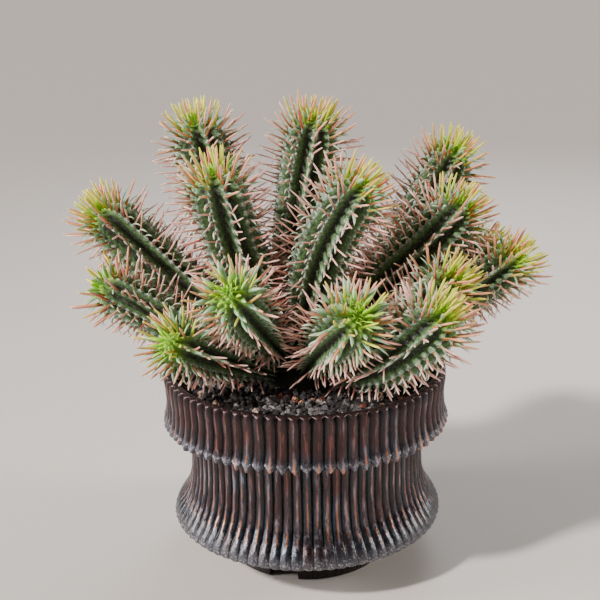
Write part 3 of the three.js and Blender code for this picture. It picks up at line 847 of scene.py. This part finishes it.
def make_stems(skin, spine, leaf):
    """Every stem as one piece: its flesh, spines and leaves, standing for the CAD stem of the same name."""
    forms = {name: stem_form(*stem) for name, stem in STEMS.items()}
    for form in forms.values():
        reach = np.arange(0, skin_length(form), 2.0)
        form["samples"] = along_stem(form, "curve", axis_distance(form, reach))
        form["sample_radii"] = stem_radius(form, reach)
    tree = growth_tree()
    spine_piece = add_object(one_spine())
    leaf_pieces = [(kind, add_object(one_leaf(kind))) for kind in (CROWN_LEAF, HOOKED_SCALE)]
    for number, (name, form) in enumerate(forms.items()):
        random = np.random.default_rng(100 + number)
        phase = random.uniform(0.1, 0.6)
        flesh = stem_flesh(f"flesh_{name}", form, phase, random)
        flesh.data.materials.append(skin)
        points = growing_points(form, phase)
        parts = [flesh]
        seats = spine_points(name, form, points, forms, random)
        parts.append(grown(seats, tree, "spines", {"Piece": spine_piece, "Material": spine}))
        for kind, piece in leaf_pieces:
            seats = leaf_points(name, form, points, forms, random, kind)
            parts.append(grown(seats, tree, "leaves", {"Piece": piece, "Material": leaf}))
        stem = joined(parts, f"ribbed_stem_{name}")
        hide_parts(f"stem_{name}")
        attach(stem, BODY)
    for piece in [spine_piece, *(piece for _, piece in leaf_pieces)]:
        bpy.data.objects.remove(piece)


# Pot

def flute_tree():
    """Presses arched flutes into a plain wall, each a little different, and marks the ridges between them.
    Then lets the wall waver as handwork does, and roughens it with lumps where the glaze pools."""
    tree, entry, leave = new_tree(
        "press_flutes",
        {
            "Flutes": "NodeSocketFloat",
            "Hollow": "NodeSocketFloat",
            "Flare": "NodeSocketFloat",
            "Arch Opening": "NodeSocketFloat",
            "Unevenness": "NodeSocketFloat",
            "Arch Top": "NodeSocketFloat",
            "Arch Drop": "NodeSocketFloat",
            "Arch Edge": "NodeSocketFloat",
            "Tip Jitter": "NodeSocketFloat",
            "Waver": "NodeSocketFloat",
            "Crust": "NodeSocketFloat",
            "Seed": "NodeSocketInt",
            "Material": "NodeSocketMaterial",
        },
    )
    turn, depth, lift, edge, pooled = (
        add(tree, "GeometryNodeInputNamedAttribute", {"Name": name}, data_type="FLOAT")
        for name in ("turn", "depth", "lift", "edge", "pooled")
    )
    position = add(tree, "GeometryNodeInputPosition")
    axes = add(tree, "ShaderNodeSeparateXYZ", {0: position}).node.outputs
    place = add(tree, MATH, {0: turn, 1: entry["Flutes"]}, operation="MULTIPLY")
    number = add(tree, MATH, {0: place}, operation="FLOOR")
    within = add(tree, MATH, {0: place, 1: number}, operation="SUBTRACT")
    signed = add(tree, MATH, {0: within, 1: 2.0, 2: -1.0}, operation="MULTIPLY_ADD")
    apart = add(tree, MATH, {0: signed}, operation="ABSOLUTE")
    squared = add(tree, MATH, {0: apart, 1: 2.0}, operation="POWER")
    drop = add(tree, MATH, {0: squared, 1: entry["Arch Drop"]}, operation="MULTIPLY")
    arch = add(tree, MATH, {0: entry["Arch Top"], 1: drop}, operation="SUBTRACT")
    under = add(tree, MATH, {0: arch, 1: axes["Z"]}, operation="SUBTRACT")
    flare = add(tree, MATH, {0: pooled, 1: entry["Flare"], 2: entry["Hollow"]}, operation="MULTIPLY_ADD")
    opened = add(
        tree, MAP_RANGE, {"Value": under, "From Max": 5 * MM, "To Min": entry["Arch Opening"], "To Max": 0.0}
    )
    sharpness = add(tree, MATH, {0: flare, 1: opened}, operation="ADD")
    ridge = add(tree, MATH, {0: apart, 1: sharpness}, operation="POWER")
    hollow = add(tree, MATH, {0: 1.0, 1: ridge}, operation="SUBTRACT")
    cut = add(tree, MATH, {0: under, 1: entry["Arch Edge"]}, operation="DIVIDE", use_clamp=True)
    on_wall = add(tree, MAP_RANGE, {"Value": depth, "From Max": 1.5 * MM})
    uncut = add(tree, MATH, {0: 1.0, 1: cut}, operation="SUBTRACT")
    lip = add(tree, MATH, {0: uncut, 1: on_wall}, operation="MULTIPLY")
    mark = add(tree, MIX, {"Factor": on_wall, "A": 0.3, "B": ridge}, data_type="FLOAT")
    low = add(tree, MATH, {0: 1.0, 1: entry["Unevenness"]}, operation="SUBTRACT")
    high = add(tree, MATH, {0: 1.0, 1: entry["Unevenness"]}, operation="ADD")
    chance = add(
        tree, "FunctionNodeRandomValue", {"Min": low, "Max": high, "ID": number, "Seed": entry["Seed"]},
        data_type="FLOAT",
    )
    pressed = add(tree, MATH, {0: depth, 1: chance}, operation="MULTIPLY")
    inward = add(tree, MATH, {0: pressed, 1: hollow}, operation="MULTIPLY")
    arched = add(tree, MATH, {0: inward, 1: cut}, operation="MULTIPLY")
    negative = add(tree, MATH, {0: arched, 1: -1.0}, operation="MULTIPLY")
    flat = add(tree, "ShaderNodeCombineXYZ", {"X": axes["X"], "Y": axes["Y"]})
    away = add(tree, VECTOR_MATH, {0: flat}, operation="NORMALIZE")
    sideways = add(tree, VECTOR_MATH, {0: away, "Scale": negative}, operation="SCALE")
    notch = add(tree, MATH, {0: 1.0, 1: apart}, operation="SUBTRACT")
    raised = add(tree, MATH, {0: lift, 1: notch}, operation="MULTIPLY")
    crest_number = add(tree, MATH, {0: place}, operation="ROUND")
    hang = add(
        tree, "FunctionNodeRandomValue", {"Min": -1.0, "Max": 1.0, "ID": crest_number, "Seed": entry["Seed"]},
        data_type="FLOAT",
    )
    hung = add(tree, MATH, {0: hang, 1: entry["Tip Jitter"]}, operation="MULTIPLY")
    ragged = add(tree, MATH, {0: hung, 1: edge}, operation="MULTIPLY")
    tipped = add(tree, MATH, {0: ragged, 1: squared}, operation="MULTIPLY")
    up = add(tree, MATH, {0: raised, 1: tipped}, operation="ADD")
    rise = add(tree, "ShaderNodeCombineXYZ", {"Z": up})
    offset = add(tree, VECTOR_MATH, {0: sideways, 1: rise}, operation="ADD")
    moved = add(tree, MOVE, {"Geometry": entry["Geometry"], "Offset": offset})
    crested = add(tree, STORE, {"Geometry": moved, "Name": "ridge", "Value": mark})
    shaped = add(tree, STORE, {"Geometry": crested, "Name": "lip", "Value": lip})
    for scale, detail, where, amount in (
        (FLUTE_WAVES, 1.0, depth, "Waver"),
        (CRUST_LUMPS, 2.0, pooled, "Crust"),
    ):
        noise = add(tree, NOISE, {"Vector": position, "Scale": scale, "Detail": detail}, out="Color")
        centred = add(tree, VECTOR_MATH, {0: noise, 1: (0.5, 0.5, 0.5)}, operation="SUBTRACT")
        strength = add(tree, MATH, {0: where, 1: entry[amount]}, operation="MULTIPLY")
        shift = add(tree, VECTOR_MATH, {0: centred, "Scale": strength}, operation="SCALE")
        shaped = add(tree, MOVE, {"Geometry": shaped, "Offset": shift})
    return finish_tree(tree, entry, leave, shaped)


def pot_rows():
    """The outline's points with more between them, close together where the wall is fluted."""
    outline = np.array(POT_OUTLINE, float)
    spans = np.linalg.norm(np.diff(outline[:, :2], axis=0), axis=1)
    fluted = np.maximum(outline[1:, 2], outline[:-1, 2]) > 0
    counts = np.ceil(spans / np.where(fluted, FLUTED_STEP, PLAIN_STEP)).astype(int)
    rows = [
        outline[k] + (outline[k + 1] - outline[k]) * share
        for k, count in enumerate(counts)
        for share in np.arange(count) / count
    ]
    return np.array([*rows, outline[-1]])


def make_pot(glaze):
    """The pot as one closed skin: a plain turned wall, then the flutes pressed into it."""
    rows = pot_rows()
    columns = FLUTES * COLUMNS_PER_FLUTE
    even = np.arange(columns) / COLUMNS_PER_FLUTE
    turn = (even + COLUMN_SHIFT * np.sin(2 * math.pi * even)) / FLUTES
    angle = turn * 2 * math.pi
    radius, height = rows[:, :1], rows[:, 1:2]
    lowest = height + np.zeros((1, columns))
    foot = (radius > FOOT_NOTCHES["ring_inside"]) & (height < FOOT_NOTCHES["height"])
    for k in range(FOOT_NOTCHES["count"]):
        middle = math.radians(FOOT_NOTCHES["first"] + k * 360 / FOOT_NOTCHES["count"])
        away = np.abs((angle - middle + math.pi) % (2 * math.pi) - math.pi)
        inside = (away * FOOT_NOTCHES["ring_middle"] < FOOT_NOTCHES["width"] / 2)[None, :]
        lowest = np.where(foot & inside, FOOT_NOTCHES["height"], lowest)
    rings = np.stack([radius * np.cos(angle), radius * np.sin(angle), lowest], axis=-1)
    mesh = mesh_of_rings("pot_wall", rings)
    outside = radius > OUTSIDE
    pooled = []
    for part in (BAND, SKIRT):
        gathered = np.clip((part["runs_from"] - height) / RUN_LENGTH, 0, part["most"])
        pooled.append(gathered * (height > part["foot"]) * outside)
    waist = np.clip(WAIST["most"] - (height - WAIST["fades_from"]) * WAIST["fading"], 0, WAIST["most"])
    pooled.append(waist * (height < WAIST["top"]) * (height > WAIST["foot"]) * outside)
    near_edge = np.exp(-(((height - BAND_EDGE["height"]) / BAND_EDGE["spread"]) ** 2))
    per_row = dict(
        turn=turn + 0 * radius,
        depth=rows[:, 2:3] * MM + 0 * turn,
        lift=rows[:, 3:4] * MM + 0 * turn,
        edge=near_edge * (radius > BAND_EDGE["inside"]) + 0 * turn,
        pooled=np.maximum.reduce(pooled) + 0 * turn,
    )
    for name, values in per_row.items():
        store(mesh, name, values.ravel())
    values = {
        "Flutes": float(FLUTES), "Hollow": 0.4, "Flare": -0.1, "Arch Opening": 0.5, "Unevenness": 0.14,
        "Arch Top": 98.0 * MM, "Arch Drop": 2.4 * MM, "Arch Edge": 0.9 * MM, "Tip Jitter": 0.8 * MM,
        "Waver": 0.55, "Crust": 0.9 * MM, "Seed": 5, "Material": glaze,
    }
    pot = grown(mesh, flute_tree(), "fluted_stoneware_pot", values)
    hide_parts("pot")
    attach(pot, BODY)


# Grit and root crown

def grit_tree():
    """Scatters craggy grains over a surface, each with its own size, turn, shape and colour number."""
    tree, entry, leave = new_tree(
        "scatter_grit",
        {
            "Spacing": "NodeSocketFloat",
            "Smallest": "NodeSocketFloat",
            "Largest": "NodeSocketFloat",
            "Crag": "NodeSocketFloat",
            "Crag Scale": "NodeSocketFloat",
            "Seed": "NodeSocketInt",
            "Material": "NodeSocketMaterial",
        },
    )
    up = add(tree, "ShaderNodeSeparateXYZ", {0: add(tree, "GeometryNodeInputNormal")}, out="Z")
    level = add(tree, "FunctionNodeCompare", {0: up, 1: 0.6}, data_type="FLOAT", operation="GREATER_THAN")
    scatter = add(
        tree, "GeometryNodeDistributePointsOnFaces",
        {
            "Mesh": entry["Geometry"], "Selection": level, "Distance Min": entry["Spacing"],
            "Density Max": 400000.0, "Seed": entry["Seed"],
        },
        distribute_method="POISSON",
    )
    cube = add(
        tree, "GeometryNodeMeshCube", {"Size": (2, 2, 2), "Vertices X": 4, "Vertices Y": 4, "Vertices Z": 4}
    )
    corner = add(tree, "GeometryNodeInputPosition")
    round_place = add(tree, VECTOR_MATH, {0: corner}, operation="NORMALIZE")
    blocky = add(tree, MIX, {"Factor": 0.3, "A": round_place, "B": corner}, data_type="VECTOR")
    pebble = add(tree, MOVE, {"Geometry": cube, "Position": blocky})
    size = add(
        tree, "FunctionNodeRandomValue",
        {"Min": entry["Smallest"], "Max": entry["Largest"], "Seed": entry["Seed"]}, data_type="FLOAT",
    )
    squash = add(
        tree, "FunctionNodeRandomValue", {"Min": (0.8, 0.65, 0.55), "Max": (1.2, 1.0, 0.85), "Seed": 11},
        data_type="FLOAT_VECTOR",
    )
    scale = add(tree, VECTOR_MATH, {0: squash, "Scale": size}, operation="SCALE")
    turn = add(
        tree, "FunctionNodeRandomValue", {"Min": (0, 0, 0), "Max": (6.28, 6.28, 6.28), "Seed": 12},
        data_type="FLOAT_VECTOR",
    )
    rotation = add(tree, "FunctionNodeEulerToRotation", {0: turn})
    instances = add(
        tree, "GeometryNodeInstanceOnPoints",
        {"Points": scatter, "Instance": pebble, "Rotation": rotation, "Scale": scale},
    )
    tint = add(tree, "FunctionNodeRandomValue", {"Min": 0.0, "Max": 1.0, "Seed": 13}, data_type="FLOAT")
    marked = add(tree, STORE, {"Geometry": instances, "Name": "tint", "Value": tint}, domain="INSTANCE")
    real = add(tree, "GeometryNodeRealizeInstances", {0: marked})
    place = add(tree, "GeometryNodeInputPosition")
    noise = add(tree, NOISE, {"Vector": place, "Scale": entry["Crag Scale"], "Detail": 2.0}, out="Color")
    centred = add(tree, VECTOR_MATH, {0: noise, 1: (0.5, 0.5, 0.5)}, operation="SUBTRACT")
    crag = add(tree, VECTOR_MATH, {0: centred, "Scale": entry["Crag"]}, operation="SCALE")
    rough = add(tree, MOVE, {"Geometry": real, "Offset": crag})
    return finish_tree(tree, entry, leave, rough)


def make_grit(material):
    """The bed of grit inside the pot, closed below, and the loose top grains that cover it."""
    random = np.random.default_rng(3)
    angle = np.arange(ROUND_COLUMNS) * 2 * math.pi / ROUND_COLUMNS
    rings = []
    for radius, height in (*BED_WALL, *((radius, BED_TOP) for radius in BED_RADII)):
        within_edge = height == BED_TOP and radius < BED_RADII[0]
        roughness = random.uniform(-BED_ROUGHNESS, BED_ROUGHNESS, ROUND_COLUMNS) if within_edge else 0 * angle
        rings.append(np.stack([radius * np.cos(angle), radius * np.sin(angle), height + roughness], axis=-1))
    mesh = mesh_of_rings("grit_bed", np.array(rings), (0, 0, BED_WALL[0][1]), (0, 0, BED_TOP))
    store(mesh, "tint", np.full(len(mesh.vertices), 0.1))
    bed = add_object(mesh)
    bed.data.materials.append(material)
    values = {
        "Spacing": 3.0 * MM, "Smallest": 1.2 * MM, "Largest": 2.6 * MM, "Crag": 2.2 * MM, "Crag Scale": 520.0,
        "Seed": 4, "Material": material,
    }
    grains = grown(mesh.copy(), grit_tree(), "grit_grains", values)
    grit = joined([bed, grains], "lava_grit")
    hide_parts("soil")
    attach(grit, BODY)


def make_root_crown(material):
    """The lumpy woody ball that the stems stand on, narrowing to a blunt root in the grit."""
    count = ROUND_COLUMNS // 2
    angle = np.arange(ROUND_COLUMNS) * 2 * math.pi / ROUND_COLUMNS
    rings = []
    for k in range(1, count):
        slope = math.pi * k / count
        lumps = 0.5 * np.sin(5 * angle + 3 * slope) + 0.4 * np.sin(9 * angle - 6 * slope)
        radius = (CROWN_RADIUS - 0.6 + lumps) * math.sin(slope)
        height = 0 * angle - math.cos(slope) * CROWN_RADIUS
        rings.append(np.stack([radius * np.cos(angle), radius * np.sin(angle), height], axis=-1))
    pole = np.array([0, 0, CROWN_RADIUS])
    rings = np.array(rings) + CROWN_CENTRE
    mesh = mesh_of_rings("woody_root_crown", rings, CROWN_CENTRE - pole, CROWN_CENTRE + pole)
    crown = add_object(mesh)
    crown.data.materials.append(material)
    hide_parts("root_crown")
    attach(crown, BODY)


# Stage

def make_floor():
    """A plain pale floor that reaches far past the view."""
    mesh = bpy.data.meshes.new("floor")
    reach = 40
    corners = [(-reach, -reach, 0), (reach, -reach, 0), (reach, reach, 0), (-reach, reach, 0)]
    mesh.from_pydata(corners, [], [(0, 1, 2, 3)])
    floor = add_object(mesh)
    material, tree, surface = new_material("pale_floor")
    fill(tree, surface, {"Base Color": linear("#cfccc7"), "Roughness": 0.8})
    floor.data.materials.append(material)


def add_light(name, kind, place, aim, power, colour, **settings):
    """A light at a place, pointed at its aim."""
    light = bpy.data.lights.new(name, kind)
    light.energy = power
    light.color = linear(colour)[:3]
    for key, value in settings.items():
        setattr(light, key, value)
    lamp = bpy.data.objects.new(name, light)
    lamp.location = place
    lamp.rotation_euler = (Vector(aim) - Vector(place)).to_track_quat("-Z", "Y").to_euler()
    bpy.context.scene.collection.objects.link(lamp)


def make_stage():
    """A pale floor and soft light: the main light from the left, small panels at both sides and a wide weak
    one behind, with a pale sky that brightens towards the horizon."""
    make_floor()
    middle = (0, 0, 0.12)
    add_light("key_light", "SUN", (-0.85, -0.5, 0.9), middle, 5.0, "#fff4ee", angle=math.radians(5))
    beam = math.radians(70)
    add_light("left_panel", "AREA", (-1.2, -0.16, 0.41), middle, 2.2, "#fff6f0", size=0.32, spread=beam)
    add_light("right_panel", "AREA", (1.2, 0.0, 0.49), middle, 1.8, "#fff3ea", size=0.32, spread=beam)
    add_light("back_panel", "AREA", (0.25, 0.7, 0.7), middle, 4, "#f2f6ff", size=0.5)
    world = bpy.data.worlds.new("soft_studio")
    world.use_nodes = True
    tree = world.node_tree
    toward = add(tree, "ShaderNodeTexCoord", out="Generated")
    rise = add(tree, "ShaderNodeSeparateXYZ", {0: toward}, out="Z")
    glow = add(tree, MAP_RANGE, {"Value": rise, "From Max": 0.2, "To Min": 0.85, "To Max": 0.11})
    fill(tree, tree.nodes["Background"].inputs, {"Color": linear("#e3e1de"), "Strength": glow})
    bpy.context.scene.world = world


def make_camera():
    """The camera stands where the photograph was taken from, with its tilt and its slight roll."""
    camera = bpy.data.cameras.new("camera")
    camera.lens = CAMERA["lens"]
    camera.sensor_width = CAMERA["sensor"]
    camera.clip_start, camera.clip_end = 0.05, 100
    holder = bpy.data.objects.new("camera", camera)
    pitch, yaw, roll = (math.radians(CAMERA[turn]) for turn in ("pitch", "yaw", "roll"))
    aim = Vector((-math.sin(yaw) * math.cos(pitch), math.cos(yaw) * math.cos(pitch), -math.sin(pitch)))
    holder.matrix_world = (
        Matrix.Translation(CAMERA["place"])
        @ aim.to_track_quat("-Z", "Y").to_matrix().to_4x4()
        @ Matrix.Rotation(roll, 4, "Z")
    )
    bpy.context.scene.collection.objects.link(holder)
    bpy.context.scene.camera = holder


make_camera()
make_stage()
make_pot(iron_glaze())
make_grit(lava_grit())
make_root_crown(corky_skin())
make_stems(stem_skin(), spine_wood(), leaf_skin())
drain_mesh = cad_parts["drain_mesh"]
drain_mesh.material_slots[0].material = mesh_plastic()
